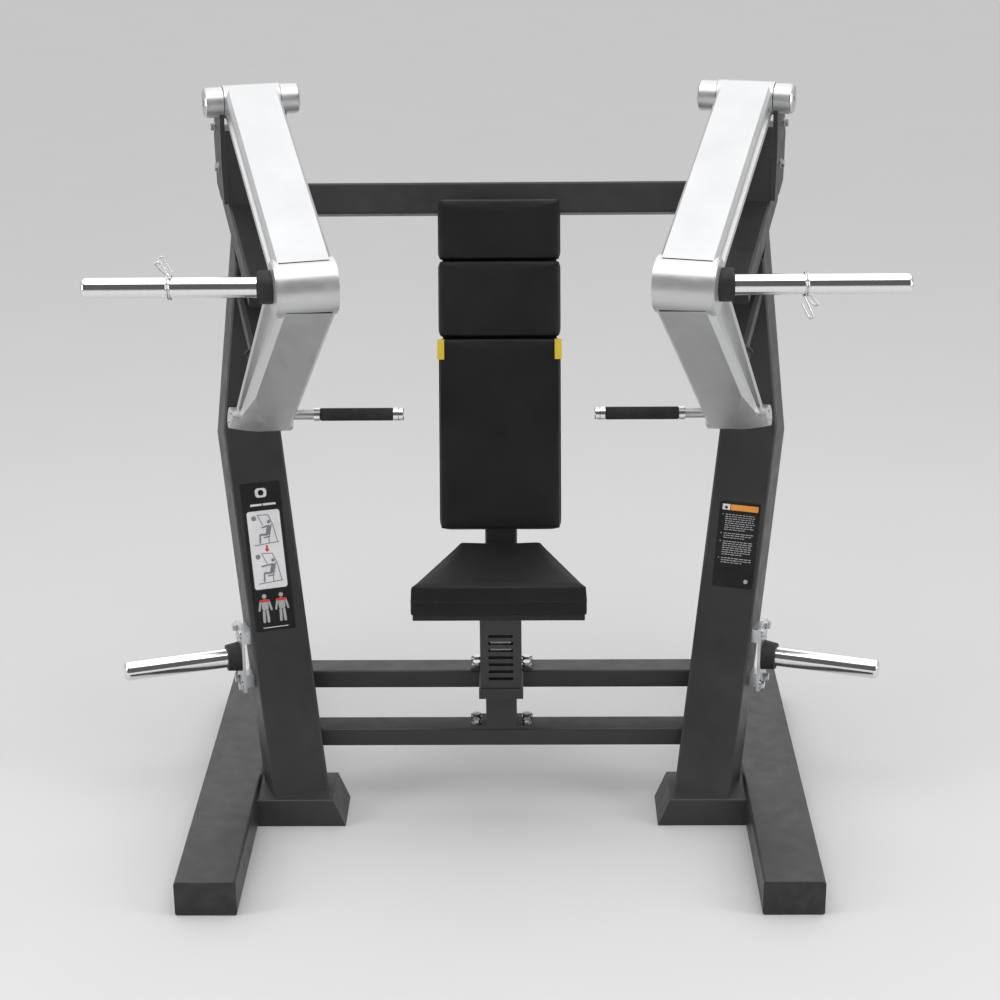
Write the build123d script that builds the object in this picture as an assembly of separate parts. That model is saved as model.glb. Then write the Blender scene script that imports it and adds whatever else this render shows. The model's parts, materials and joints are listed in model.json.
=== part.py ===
from build123d import *
from math import asin, cos, radians, sin
import os

# Plate-loaded chest press with two independent swinging arms.
# Millimetres. +Y runs back from the open front of the machine, +Z is up, and the machine is
# symmetric about X = 0. Places are given through at(): x, distance behind the rail fronts, height.
# Everything paired is built on the -X side, called left, and mirrored.

# ---- driving dimensions ------------------------------------------------------
DEPTH = 1200            # base rails, front to back
RAIL_WIDE = 150
RAIL_HIGH = 90
RAIL_MIDDLE = 708.5     # each rail's centre line, from the middle plane
WALL = 3                # wall of the welded tubes
CORNER = 7              # outside corner radius of the tubes
CAP_THICK = 6           # plastic plugs in the rail ends

STUB_FRONT = 438
STUB_REAR = 597
STUB_HIGH = 75
STUB_TIP_TOP = 436      # inner end of the stub, at its top edge
STUB_TIP_BOTTOM = 405
STUB_CORNER = 5

COLUMN_YAW = 18         # degrees, outer edge of each upright turned forward
COLUMN_LEAN = 20.5      # degrees, the flat front face leans back
COLUMN_WIDE = 148
COLUMN_THICK = 117
COLUMN_FOOT = (519, 472)    # middle of the front face where it meets the stub
KNEE = 965              # distance up the front face to the bend
TOP = 1760              # length of the upright before the strut cuts it off
LEG_SPREAD = 0.0205     # outward drift of the lower leg per unit of length
HEAD_SPREAD = 0.187     # inward drift of the upper leg per unit of length

ARM_YAW = 15.5          # degrees, yaw of both swing axes
PIVOT = (641, 1080, 1771)
ELBOW = (447, 400, 1456)
HUB = (600, 715, 1024)
ARM_WIDE = 138
ARM_DEEP = 75
ARM_WALL = 4
PIVOT_TUBE_R = 42
PIVOT_TUBE_LONG = 146
DRUM_R = 69
DRUM_OUTER = 76         # drum faces, either side of the beams' middle
DRUM_INNER = 67
RIM = 3
HUB_R = 32
HUB_PROUD = 20          # hub's overhang beyond the outer side of the lower arm

AXLE_R = 20
BEARING_GAP = 0.05
BEARING_R = 30
BEARING_LONG = 25
BOSS_R = 39
BOSS_LONG = 40
PIVOT_CAP = 8
BRACKET_THICK = 12
NECK_TOP = 70           # box neck between the cheeks, measured down from the swing axis
STRUT_WIDE = 150
STRUT_DEEP = 75
STRUT_DROP = 224        # from the swing axis to the strut's top face, measured plumb
STRUT_REAR = 70         # rear end of the strut behind the swing axis
STRUT_LONG = 440
STRUT_SLOPE = 23.4      # degrees below level, running forward

HORN_R = 25             # takes 50 mm plate bores
HORN_TIP = 976
HORN_ROOT = 558         # outer face of the rubber collar
SHANK_R = 24            # turned-down root of each horn, inside its collar
COLLAR_R = 40
STORAGE_ROOT = (684, 625, 400)
STORAGE_LONG = 302
STORAGE_COLLAR = 34
STORAGE_PLATE = (80, 178, 8)
CLIP_WIRE = 2.5
CLIP_PLACES = (768, 727)    # left and right
CLIP_GAP = 0.1

STOP_ACROSS = -50       # the stop sits behind the arm's outer edge
STOP_ALONG = 0.66       # fraction of the lower arm, from elbow to hub
STOP_CLEAR = 0.5
ARM_BACK_FACE = 44.5    # from the lower arm's centre line to its back, at the stop
BUMPER_R = 18
BUMPER_LONG = 26

HANDLE_HIGH = 1035
HANDLE_BACK = 715
HANDLE_R = 13
GRIP_R = 16.5
GRIP_OUTER = 457
GRIP_INNER = 270
HANDLE_TIP = 243

BAR_DEEP = 76
BAR_HIGH = 50
SEAT_BAR_FRONT = 590
SEAT_BAR_TOP = 204
BACK_BAR_FRONT = 690
BACK_BAR_TOP = 325
TOP_BAR_FRONT = 1050
TOP_BAR_BOTTOM = 1477
TOP_BAR_HIGH = 82
TOP_BAR_DEEP = 60
SEAT_BAR_HALF = 503     # bars run this far out before the uprights trim them
TOP_BAR_HALF = 640
BACK_BAR_HALF = 560

RECLINE = 16.6          # degrees, back post and pads
PAD_WIDE = 314
PAD_THICK = 72
PAD_LENGTHS = (("lower", 499), ("middle", 199), ("upper", 155))
PAD_GAP = 1
PAD_BOTTOM = (716, 716)     # front lower edge: distance back, height
BOARD_THICK = 16
POST_FACE = 96.4        # from the pads' front plane to the back post's front face
BACK_POST_WIDE = 84
BACK_POST_DEEP = 80
FLANGE = (163, 76, 8)
TAB = (22, 52)          # yellow pad clips: reach round the pad, height

POST = 80               # seat post, square
POST_MIDDLE = 628
POST_TOP = 505
SLEEVE = 107
SLEEVE_WALL = 5
SLEEVE_BOTTOM = 300
SLEEVE_TOP = 586
SLIDE_GAP = 0.4
SLOTS = 7
SLOT = (64, 9)
SLOT_PITCH = 20
SLOT_LOWEST = 352
SEAT_TILT = 4.3         # degrees, front edge higher
SEAT_REAR = (705, 690)
SEAT_LONG = 371
SEAT_FRONT_WIDE = 439
SEAT_REAR_WIDE = 217
SEAT_THICK = 76
SEAT_BOARD = 15
PAWL = (54, 5, 40)       # ratchet tongue on the post, behind the sleeve's slots
PAWL_LOW = 430

BOLT_FLATS = 19
SCREW_R = 3

BLACK = (0.09, 0.09, 0.1)
GREY = (0.2, 0.2, 0.21)
SILVER = (0.75, 0.76, 0.77)
CHROME = (0.85, 0.86, 0.88)
YELLOW = (0.75, 0.62, 0.12)

parts = {}


# ---- helpers ----------------------------------------------------------------
def at(x, back, high):
    return Vector(x, back - DEPTH / 2, high)


def left(spot):
    """A paired place on the -X side."""
    return at(-spot[0], spot[1], spot[2])


def inward(yaw):
    """Level direction across a yawed member, from its outer to its inner edge."""
    return Vector(cos(radians(yaw)), sin(radians(yaw)), 0)


def rod(start, end, radius):
    line = end - start
    return extrude(Plane(start, z_dir=line) * Circle(radius), line.length)


def ring(start, end, outer, inner):
    line = end - start
    return extrude(Plane(start, z_dir=line) * (Circle(outer) - Circle(inner)), line.length)


def block(low, high):
    size = high - low
    return Pos(*((low + high) * 0.5)) * Box(size.X, size.Y, size.Z)


def filled(points):
    return make_face(Polyline(*points, close=True))


def both_halves(points):
    """Close a symmetric outline from its +x half."""
    return points + [(-x, y) for x, y in reversed(points)]


def shifted(plane, forward):
    return Plane(plane.origin + plane.z_dir * forward, x_dir=plane.x_dir, z_dir=plane.z_dir)


def tube_section(wide, tall):
    return RectangleRounded(wide, tall, CORNER) - RectangleRounded(wide - 2 * WALL, tall - 2 * WALL, CORNER - WALL)


def rounded_along(solid, direction, radius=CORNER):
    """Round the long edges that run roughly along a direction."""
    line = direction.normalized()
    long_edges = [e for e in solid.edges() if abs((e @ 1 - e @ 0).normalized().dot(line)) > 0.9]
    return fillet(long_edges, radius)


def frame_tube(front, deep, low, tall, half_length):
    """A level rectangular tube along X, centred on the middle plane."""
    start = Plane(at(-half_length, front + deep / 2, low + tall / 2), x_dir=(0, 1, 0), z_dir=(1, 0, 0))
    return extrude(start * tube_section(deep, tall), 2 * half_length)


def hex_bolt(seat):
    """Washer and hex head standing on the plane."""
    washer = extrude(seat * Circle(BOLT_FLATS * 0.68), 2.5)
    return washer + extrude(seat * RegularPolygon(BOLT_FLATS / 2, 6, major_radius=False), 10.5)


def add(name, shape, colour):
    shape.label = name
    shape.color = Color(*colour)
    parts[name] = shape


def add_pair(name, shape, colour):
    add(name + "_left", shape, colour)
    add(name + "_right", mirror(shape, about=Plane.YZ), colour)


def group(shapes):
    return Compound(children=list(shapes))


def with_mirrored(shapes):
    return list(shapes) + [mirror(s, about=Plane.YZ) for s in shapes]


# ---- base -------------------------------------------------------------------
def base_rail():
    start = Plane(at(-RAIL_MIDDLE, CAP_THICK, RAIL_HIGH / 2), x_dir=(1, 0, 0), z_dir=(0, 1, 0))
    return extrude(start * tube_section(RAIL_WIDE, RAIL_HIGH), DEPTH - 2 * CAP_THICK)


def rail_caps():
    caps = []
    for back in (0, DEPTH - CAP_THICK):
        start = Plane(at(-RAIL_MIDDLE, back, RAIL_HIGH / 2), x_dir=(1, 0, 0), z_dir=(0, 1, 0))
        caps.append(extrude(start * RectangleRounded(RAIL_WIDE, RAIL_HIGH, CORNER), CAP_THICK))
    return group(with_mirrored(caps))


def stub_foot():
    rail_face = RAIL_MIDDLE - RAIL_WIDE / 2
    outline = [(-rail_face, 0), (-STUB_TIP_BOTTOM, 0), (-STUB_TIP_TOP, STUB_HIGH), (-rail_face, STUB_HIGH)]
    start = Plane(at(0, STUB_REAR, 0), x_dir=(1, 0, 0), z_dir=(0, -1, 0))
    body = extrude(start * filled(outline), STUB_REAR - STUB_FRONT)
    body = fillet(body.edges().group_by(Axis.Z)[-1].filter_by(Axis.X), STUB_CORNER)
    hollow = block(at(WALL - rail_face, STUB_FRONT + WALL, -10), at(-STUB_TIP_TOP - WALL, STUB_REAR - WALL, 71))
    return body - hollow


# ---- uprights and struts ------------------------------------------------------
COLUMN_ACROSS = inward(COLUMN_YAW)
COLUMN_CLIMB = (COLUMN_ACROSS.cross(Vector(0, 0, 1)) * -sin(radians(COLUMN_LEAN))
                + Vector(0, 0, 1) * cos(radians(COLUMN_LEAN)))
COLUMN = Plane(at(-COLUMN_FOOT[0], COLUMN_FOOT[1], STUB_HIGH), x_dir=COLUMN_ACROSS,
               z_dir=COLUMN_ACROSS.cross(COLUMN_CLIMB))    # its normal points forward


def column_middle(climb):
    """Sideways place of the upright's centre line, at a distance up its face."""
    lower = min(climb, KNEE)
    upper = max(climb - KNEE, 0)
    return upper * HEAD_SPREAD - lower * LEG_SPREAD


def column_outline(inset):
    half = COLUMN_WIDE / 2 - inset
    stops = (-60, KNEE, TOP)
    outer = [(column_middle(q) - half, q) for q in stops]
    inner = [(column_middle(q) + half, q) for q in reversed(stops)]
    return outer + inner


def column_solid(inset):
    deep = COLUMN_THICK - 2 * inset
    solid = extrude(shifted(COLUMN, -inset) * filled(column_outline(inset)), -deep)
    return rounded_along(solid, COLUMN_CLIMB, CORNER - inset)


ARM_ACROSS = inward(ARM_YAW)
ARM_BACK = Vector(0, 0, 1).cross(ARM_ACROSS)
ARM_SIDE = Plane(left(PIVOT), x_dir=ARM_BACK, z_dir=ARM_ACROSS)    # x back, y up, z inward


def side_slab(points, low, high):
    """Extrude an outline drawn beside the swing axis between two places across the arm."""
    return extrude(shifted(ARM_SIDE, low) * filled(points), high - low)


def largest(shape):
    return max(shape.solids(), key=lambda piece: piece.volume)


def strut_outline(rise, inset=0):
    """Side view of the strut, or of a slab standing on its underside."""
    slope = radians(STRUT_SLOPE)
    ahead = (-cos(slope), -sin(slope))
    up = (-sin(slope), cos(slope))
    rear = (STRUT_REAR, -STRUT_DROP)
    low = STRUT_DEEP - inset
    rear_low = (rear[0] - up[0] * low + ahead[0] * inset, rear[1] - up[1] * low + ahead[1] * inset)
    length = STRUT_LONG - 2 * inset
    front_low = (rear_low[0] + ahead[0] * length, rear_low[1] + ahead[1] * length)
    front_high = (front_low[0] + up[0] * rise, front_low[1] + up[1] * rise)
    rear_high = (rear_low[0] + up[0] * rise, rear_low[1] + up[1] * rise)
    return [rear_low, front_low, front_high, rear_high]


def neck_outline(inset):
    """Side view of the box neck, which stands on the strut under the pivot."""
    top = -NECK_TOP - inset
    return [(-26 + inset, top), (-15 + inset, -150), (-26 + inset, -285), (60 - inset, -255), (60 - inset, top)]


def strut():
    """Box strut with a neck welded on its top face, between the bracket's cheeks."""
    half = STRUT_WIDE / 2
    inside = half - WALL
    ahead = ARM_BACK * -cos(radians(STRUT_SLOPE)) - Vector(0, 0, sin(radians(STRUT_SLOPE)))
    body = rounded_along(side_slab(strut_outline(STRUT_DEEP), -half, half), ahead)
    body = body + side_slab(neck_outline(0), -half, half)
    core = side_slab(strut_outline(STRUT_DEEP - 2 * WALL, WALL), -inside, inside)
    core = core + side_slab(neck_outline(WALL), -inside, inside)
    vent = extrude(ARM_SIDE * Pos(STRUT_REAR - 60, -STRUT_DROP - 90) * Rectangle(16, 60), 8)
    return body - core - vent


def upright():
    """Bent box column, cut level on the stub and along the strut's underside."""
    below = block(at(-1200, -400, -400), at(0, DEPTH, STUB_HIGH))
    above = side_slab(strut_outline(600), -400, 400)
    behind = side_slab([(STRUT_REAR - 5, -500), (STRUT_REAR - 5, 400), (900, 400), (900, -500)], -400, 400)
    shell = column_solid(0) - column_solid(WALL)
    return largest(shell - below - above - behind)


# ---- cross members ------------------------------------------------------------
def trimmed_bar(front, low, tall, half_length):
    bar = frame_tube(front, BAR_DEEP, low, tall, half_length)
    for side_column in with_mirrored([column_solid(0)]):
        bar = bar - side_column
    return longest_piece(bar)


def leant(shape):
    """Turn a shape about the top bar's lower front edge, to match the uprights' lean."""
    edge = Axis(at(0, TOP_BAR_FRONT, TOP_BAR_BOTTOM), (1, 0, 0))
    return shape.rotate(edge, -COLUMN_LEAN)


def top_crossbar():
    bar = leant(frame_tube(TOP_BAR_FRONT, TOP_BAR_DEEP, TOP_BAR_BOTTOM, TOP_BAR_HIGH, TOP_BAR_HALF))
    for side_column in with_mirrored([column_solid(0)]):
        bar = bar - side_column
    return longest_piece(bar)


def longest_piece(shape):
    """The stretch between the uprights; the offcuts beyond them are dropped."""
    return max(shape.solids(), key=lambda piece: piece.bounding_box().size.X)


def back_crossbar():
    """Rear bar, standing just behind the uprights, with a wedge welded to each."""
    bar = frame_tube(BACK_BAR_FRONT, BAR_DEEP, BACK_BAR_TOP - BAR_HIGH, BAR_HIGH, BACK_BAR_HALF)
    wedge = block(at(-BACK_BAR_HALF, 600, BACK_BAR_TOP - BAR_HIGH), at(-500, BACK_BAR_FRONT + 10, BACK_BAR_TOP))
    body = bar + group_union(with_mirrored([wedge]))
    for side_column in with_mirrored([column_solid(0)]):
        body = body - side_column
    return longest_piece(body)


def group_union(shapes):
    whole = shapes[0]
    for shape in shapes[1:]:
        whole = whole + shape
    return whole


# ---- pivots -------------------------------------------------------------------
def on_axis(across):
    return left(PIVOT) + ARM_ACROSS * across


def pivot_plate(low):
    """One cheek of the pivot bracket: hangs under the boss and laps the strut's side."""
    outline = [(-30, 0), (-16, -150), (-30, -262), (40, -258), (98, -232), (110, -110), (80, -40), (34, 0)]
    plate = side_slab(outline, low, low + BRACKET_THICK)
    boss = extrude(shifted(ARM_SIDE, low) * Circle(BOSS_R), BRACKET_THICK)
    return largest(plate - boss - column_solid(0))


def pivot_bracket():
    half = STRUT_WIDE / 2
    return [pivot_plate(-half - BRACKET_THICK), pivot_plate(half)]


def pivot_bosses():
    near = STRUT_WIDE / 2
    far = near + BOSS_LONG
    return [ring(on_axis(-near), on_axis(-far), BOSS_R, AXLE_R),
            ring(on_axis(near), on_axis(far), BOSS_R, AXLE_R)]


BOSS_END = STRUT_WIDE / 2 + BOSS_LONG


def pivot_axle():
    return rod(on_axis(-BOSS_END), on_axis(BOSS_END), AXLE_R)


def pivot_cap(end):
    """Bevelled disc with a hex socket, closing the boss."""
    outward = 1 if end > 0 else -1
    face = Plane(on_axis(end), z_dir=ARM_ACROSS * outward)
    disc = extrude(face * Circle(BOSS_R - 1), PIVOT_CAP)
    disc = chamfer(disc.faces().sort_by(Axis(on_axis(end), ARM_ACROSS * outward))[-1].edges(), 4)
    socket = extrude(shifted(face, PIVOT_CAP - 5) * RegularPolygon(10, 6), 6)
    return disc - socket


def pivot_caps():
    return group(with_mirrored([pivot_cap(-BOSS_END), pivot_cap(BOSS_END)]))


def arm_bearings():
    half = PIVOT_TUBE_LONG / 2
    bore = AXLE_R + BEARING_GAP
    return group([ring(on_axis(-half), on_axis(-half + BEARING_LONG), BEARING_R, bore),
                  ring(on_axis(half), on_axis(half - BEARING_LONG), BEARING_R, bore)])


# ---- arms ---------------------------------------------------------------------
ELBOW_AT = left(ELBOW)


def on_elbow(across):
    return ELBOW_AT + ARM_ACROSS * across


def drum_solid(extra=0):
    return rod(on_elbow(-DRUM_OUTER - RIM - extra), on_elbow(DRUM_INNER + RIM + extra), DRUM_R)


def elbow_drum():
    """Drum between the two beams, with a rim at each end and a hollow core."""
    body = rod(on_elbow(-DRUM_OUTER), on_elbow(DRUM_INNER), DRUM_R)
    body = body + rod(on_elbow(-DRUM_OUTER - RIM), on_elbow(DRUM_INNER + RIM), DRUM_R - 4)
    core = rod(on_elbow(10 - DRUM_OUTER), on_elbow(DRUM_INNER - 10), DRUM_R - 9)
    vent = rod(on_elbow(-DRUM_OUTER - RIM), on_elbow(0), 6)
    return body - core - vent


BEAM_HALF = ARM_WIDE / 2
UPPER_SECTION = [(61, 0), (BEAM_HALF, -10), (BEAM_HALF, -27), (56, -32), (56, -54), (BEAM_HALF, -59),
                 (BEAM_HALF, -ARM_DEEP)]
FRONT_SECTION = [(57, 0), (BEAM_HALF, -13), (BEAM_HALF, -32)]


def beam(start, along, outward, length, half_section):
    """A bar along a line; the section's y = 0 is its outer face, facing outward."""
    across = outward.cross(along)
    profile = Plane(start, x_dir=across, z_dir=along)
    flip = 1 if profile.y_dir.dot(outward) > 0 else -1
    return extrude(profile * filled(both_halves([(x, y * flip) for x, y in half_section])), length)


def upper_arm():
    """Beam whose face is tangent to the pivot tube and to the elbow drum."""
    reach = ELBOW_AT - left(PIVOT)
    reach = reach - ARM_ACROSS * reach.dot(ARM_ACROSS)
    along = reach.normalized()
    above = along.cross(ARM_ACROSS)
    if above.Z < 0:
        above = above * -1
    flare = asin((DRUM_R - PIVOT_TUBE_R) / reach.length)
    outward = above * cos(flare) - along * sin(flare)
    run = along * cos(flare) + above * sin(flare)
    start = left(PIVOT) + outward * PIVOT_TUBE_R
    body = beam(start, run, outward, reach.length - 8, UPPER_SECTION)
    inside = [(48, -ARM_WALL), (48, ARM_WALL - ARM_DEEP)]
    body = body - beam(start, run, outward, reach.length + 10, inside)
    half = PIVOT_TUBE_LONG / 2
    body = body + rod(on_axis(-half), on_axis(half), PIVOT_TUBE_R)
    body = body - rod(on_axis(-half), on_axis(half), BEARING_R)
    past = rod(on_elbow(-90), on_elbow(90), DRUM_R)
    return largest(body - past)


LOWER_REACH = left(HUB) - ELBOW_AT
LOWER_LONG = LOWER_REACH.length
LOWER_ALONG = LOWER_REACH.normalized()
LOWER_ACROSS = (ARM_ACROSS - LOWER_ALONG * ARM_ACROSS.dot(LOWER_ALONG)).normalized()
LOWER_SIDE = Plane(ELBOW_AT, x_dir=LOWER_ALONG, z_dir=LOWER_ACROSS)    # y points back and up
HUB_FACE = HUB_R - 1


def lower_slab(points, half):
    return extrude(shifted(LOWER_SIDE, -half) * filled(points), 2 * half)


def lower_arm(above):
    """Wedge from drum to hub: a wide front plate, a thin rear bar and a set-in web."""
    taper = asin((DRUM_R - HUB_R) / LOWER_LONG)
    front_out = LOWER_SIDE.y_dir * -cos(taper) + LOWER_ALONG * sin(taper)
    front_run = LOWER_ALONG * cos(taper) + LOWER_SIDE.y_dir * sin(taper)
    start = ELBOW_AT + front_out * DRUM_R
    body = beam(start + front_run * 8, front_run, front_out, LOWER_LONG - 8, FRONT_SECTION)
    rear = [(20, DRUM_R - 2), (LOWER_LONG, HUB_FACE), (LOWER_LONG, HUB_FACE - 17), (20, DRUM_R - 20)]
    web = [(40, -45), (LOWER_LONG, -15), (LOWER_LONG, HUB_FACE - 8), (40, DRUM_R - 12)]
    body = body + lower_slab(rear, BEAM_HALF) + lower_slab(web, BEAM_HALF - 14)
    body = body + hub_solid()
    body = body - facet_cutter(start + front_run * LOWER_LONG, front_run, front_out)
    pocket = [(50, -48), (LOWER_LONG - 60, -18), (LOWER_LONG - 60, 18), (50, 50)]
    body = body - lower_slab(pocket, BEAM_HALF - 22)
    past = rod(on_elbow(-90), on_elbow(90), DRUM_R)
    return largest(body - past - above)


def hub_solid():
    centre = left(HUB)
    return rod(centre - LOWER_ACROSS * (BEAM_HALF + HUB_PROUD), centre + LOWER_ACROSS * BEAM_HALF, HUB_R)


def facet_cutter(corner, run, outward):
    """Planes off the low outer corner of the front plate."""
    top = corner - run * 200 - LOWER_ACROSS * BEAM_HALF
    foot = corner + run * 20 + LOWER_ACROSS * 5
    deep = corner + run * 20 - LOWER_ACROSS * BEAM_HALF - outward * 20
    normal = (foot - deep).cross(top - deep)
    if normal.dot(outward) < 0:
        normal = normal * -1
    cut = Plane(deep, x_dir=foot - deep, z_dir=normal)
    return cut * Box(600, 600, 100, align=(Align.CENTER, Align.CENTER, Align.MIN))


def hub_screws():
    """Three button-head screws in the hub's end face."""
    face = Plane(left(HUB) - LOWER_ACROSS * (BEAM_HALF + HUB_PROUD), z_dir=LOWER_ACROSS * -1)
    spots = [face * Pos(*place) for place in ((0, 18), (-16, -9), (16, -9))]
    return group([extrude(spot * Circle(SCREW_R * 1.6), 2.5) for spot in spots])


# ---- handles --------------------------------------------------------------------
def handle_point(x):
    return at(-x, HANDLE_BACK, HANDLE_HIGH)


def handle_bar(arm):
    return largest(rod(handle_point(HUB[0] - 52), handle_point(HANDLE_TIP + 14), HANDLE_R) - arm)


def grip():
    return ring(handle_point(GRIP_OUTER), handle_point(GRIP_INNER), GRIP_R, HANDLE_R)


def handle_trim():
    """Clamp ring at each end of the grip, and the plug in the end of the tube."""
    outer = ring(handle_point(GRIP_OUTER + 15), handle_point(GRIP_OUTER + 0.5), GRIP_R + 1, HANDLE_R)
    inner = ring(handle_point(GRIP_INNER - 0.5), handle_point(GRIP_INNER - 13), GRIP_R + 1, HANDLE_R)
    plug = rod(handle_point(HANDLE_TIP + 14), handle_point(HANDLE_TIP), GRIP_R)
    plug = chamfer(plug.faces().sort_by(Axis.X)[-1].edges(), 2)
    return group([outer, inner, plug])


# ---- plate horns ------------------------------------------------------------------
def horn_point(x):
    return at(-x, ELBOW[1], ELBOW[2])


def plate_horn():
    horn = rod(horn_point(HORN_ROOT), horn_point(HORN_TIP), HORN_R)
    horn = fillet(horn.faces().sort_by(Axis.X)[0].edges(), 12)
    shank = rod(horn_point(HORN_ROOT - 45), horn_point(HORN_ROOT), SHANK_R)
    return largest(horn + shank - drum_solid(1))


def horn_collar():
    collar = ring(horn_point(HORN_ROOT - 60), horn_point(HORN_ROOT), COLLAR_R, SHANK_R)
    return largest(collar - drum_solid(1))


def spring_clip(place, side, up):
    """Two turns of wire round the horn and a long U-shaped tail."""
    coil_r = HORN_R + CLIP_GAP + CLIP_WIRE
    middle = at(side * place, ELBOW[1], ELBOW[2])
    turn_plane = Plane(middle, z_dir=(1, 0, 0))
    clip = None
    for shift in (-2.3, 2.3):
        turn = shifted(turn_plane, shift) * Torus(coil_r, CLIP_WIRE)
        clip = turn if clip is None else clip + turn
    lean = 22 * side
    root = middle + Vector(0, -6, up * coil_r)
    tip = middle + Vector(lean, -6, up * (coil_r + 60))
    width = Vector(0, 12, 0)
    route = FilletPolyline(root, tip, tip + width, root + width, radius=5)
    return clip + sweep(Plane(root, z_dir=tip - root) * Circle(CLIP_WIRE - 0.3), route)


# ---- plate storage ------------------------------------------------------------------
STORAGE_OUT = COLUMN_ACROSS * -1
STORAGE_AT = left(STORAGE_ROOT)


def storage_face(proud):
    return Plane(STORAGE_AT + STORAGE_OUT * proud, x_dir=(0, 0, 1), z_dir=STORAGE_OUT)


def storage_plate(column):
    """Plate on two spacers that reach the upright's outer side."""
    wide, tall, thick = STORAGE_PLATE
    plate = extrude(storage_face(0) * Rectangle(tall, wide), -thick)
    for rise in (-62, 62):
        plate = plate + extrude(storage_face(-thick) * Pos(rise, 0) * Rectangle(36, 60), -60)
    return largest(plate - column)


def storage_horn():
    tip = STORAGE_AT + STORAGE_OUT * STORAGE_LONG
    root = STORAGE_AT + STORAGE_OUT * STORAGE_COLLAR
    horn = rod(root, tip, HORN_R)
    horn = fillet(horn.faces().sort_by(Axis(STORAGE_AT, STORAGE_OUT))[-1].edges(), 12)
    return horn + rod(STORAGE_AT, root, SHANK_R)


def storage_collar():
    wide_end = Plane(STORAGE_AT, z_dir=STORAGE_OUT) * Circle(39)
    root = STORAGE_AT + STORAGE_OUT * STORAGE_COLLAR
    narrow_end = Plane(root, z_dir=STORAGE_OUT) * Circle(34)
    return loft([wide_end, narrow_end]) - rod(STORAGE_AT, root, SHANK_R)


# ---- arm stops ------------------------------------------------------------------------


def stop_spot():
    """Middle of the bumper's contact face and the direction it points away from the arm."""
    taper = asin((DRUM_R - HUB_R) / LOWER_LONG)
    outward = LOWER_SIDE.y_dir * cos(taper) + LOWER_ALONG * sin(taper)
    on_face = ELBOW_AT + LOWER_ALONG * (LOWER_LONG * STOP_ALONG) + LOWER_ACROSS * STOP_ACROSS
    return on_face + outward * (ARM_BACK_FACE + STOP_CLEAR), outward


def stop_bumper():
    start, outward = stop_spot()
    pad = extrude(Plane(start, z_dir=outward) * Circle(BUMPER_R), BUMPER_LONG)
    return chamfer(pad.faces().sort_by(Axis(start, outward))[0].edges(), 4)


def stop_bracket(column):
    """Flat arm from the upright's face to the back of the bumper."""
    start, outward = stop_spot()
    near = start + outward * BUMPER_LONG
    seat = extrude(Plane(near, z_dir=outward) * Circle(BUMPER_R + 3), 6)
    reach = Plane(near + outward * 3, x_dir=ARM_ACROSS, z_dir=Vector(-0.25, 1, 0.35))
    arm = extrude(reach * Rectangle(12, 34), 420)
    return min((seat + arm - stop_bumper() - column).solids(), key=lambda piece: piece.center().Y)


# ---- backrest ---------------------------------------------------------------------------
TILT = radians(RECLINE)
PAD_UP = Vector(0, sin(TILT), cos(TILT))
PAD_FORWARD = Vector(0, -cos(TILT), sin(TILT))
PAD_FACE = Plane(at(0, PAD_BOTTOM[0], PAD_BOTTOM[1]), x_dir=(1, 0, 0), z_dir=PAD_FORWARD)
PAD_TOTAL = sum(length for _, length in PAD_LENGTHS) + PAD_GAP * 2


def pad_box(x_low, x_high, low, high, front, back):
    """A box in the reclined frame: heights up the pad, depths behind its front plane."""
    outline = [(x_low, low), (x_high, low), (x_high, high), (x_low, high)]
    return extrude(shifted(PAD_FACE, -front) * filled(outline), front - back)


def back_cushions():
    low = 0
    for name, length in PAD_LENGTHS:
        half = PAD_WIDE / 2
        cushion = pad_box(-half, half, low, low + length, 0, PAD_THICK)
        cushion = fillet(cushion.edges().group_by(Axis(PAD_FACE.origin, PAD_FORWARD))[-1], 12)
        add("back_cushion_" + name, cushion, BLACK)
        low = low + length + PAD_GAP


def back_board():
    half = PAD_WIDE / 2 - 8
    return pad_box(-half, half, 8, PAD_TOTAL - 8, PAD_THICK, PAD_THICK + BOARD_THICK)


def board_mounts():
    """Two steel straps between the board and the post."""
    straps = []
    for low in (90, 560):
        straps.append(pad_box(-110, 110, low, low + 60, PAD_THICK + BOARD_THICK, POST_FACE))
    return group(straps)


def pad_clips():
    """Yellow clips hooked round the cushion's side edges."""
    reach, tall = TAB
    clips = []
    half = PAD_WIDE / 2
    low = PAD_LENGTHS[0][1] - tall - 4
    clip = pad_box(-half - 4, -half + reach - 8, low, low + tall, -3, PAD_THICK)
    clip = clip - pad_box(-half - 0.5, -half + reach, low, low + tall, -0.5, PAD_THICK)
    clips.append(clip)
    return group(with_mirrored(clips))


def back_post():
    """Reclined tube from the rear bar's flange up to the top bar."""
    foot = PAD_FACE.origin - PAD_FORWARD * (POST_FACE + BACK_POST_DEEP / 2) - PAD_UP * 700
    section = tube_section(BACK_POST_WIDE, BACK_POST_DEEP)
    post = extrude(Plane(foot, x_dir=(1, 0, 0), z_dir=PAD_UP) * section, 1800)
    flange_top = BACK_BAR_TOP + FLANGE[2]
    post = post - block(at(-300, 0, -800), at(300, DEPTH, flange_top))
    post = post - leant(block(at(-300, 0, TOP_BAR_BOTTOM), at(300, 2 * DEPTH, 3000)))
    middle = BACK_BAR_FRONT + BAR_DEEP / 2
    return post + flange_at(middle, BACK_BAR_TOP)


def flange_at(middle, low):
    wide, deep, thick = FLANGE
    return block(at(-wide / 2, middle - deep / 2, low), at(wide / 2, middle + deep / 2, low + thick))


# ---- seat -------------------------------------------------------------------------------
SEAT_RISE = radians(SEAT_TILT)
SEAT_TOP = Plane(at(0, SEAT_REAR[0], SEAT_REAR[1]), x_dir=(1, 0, 0), z_dir=(0, sin(SEAT_RISE), cos(SEAT_RISE)))


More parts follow.
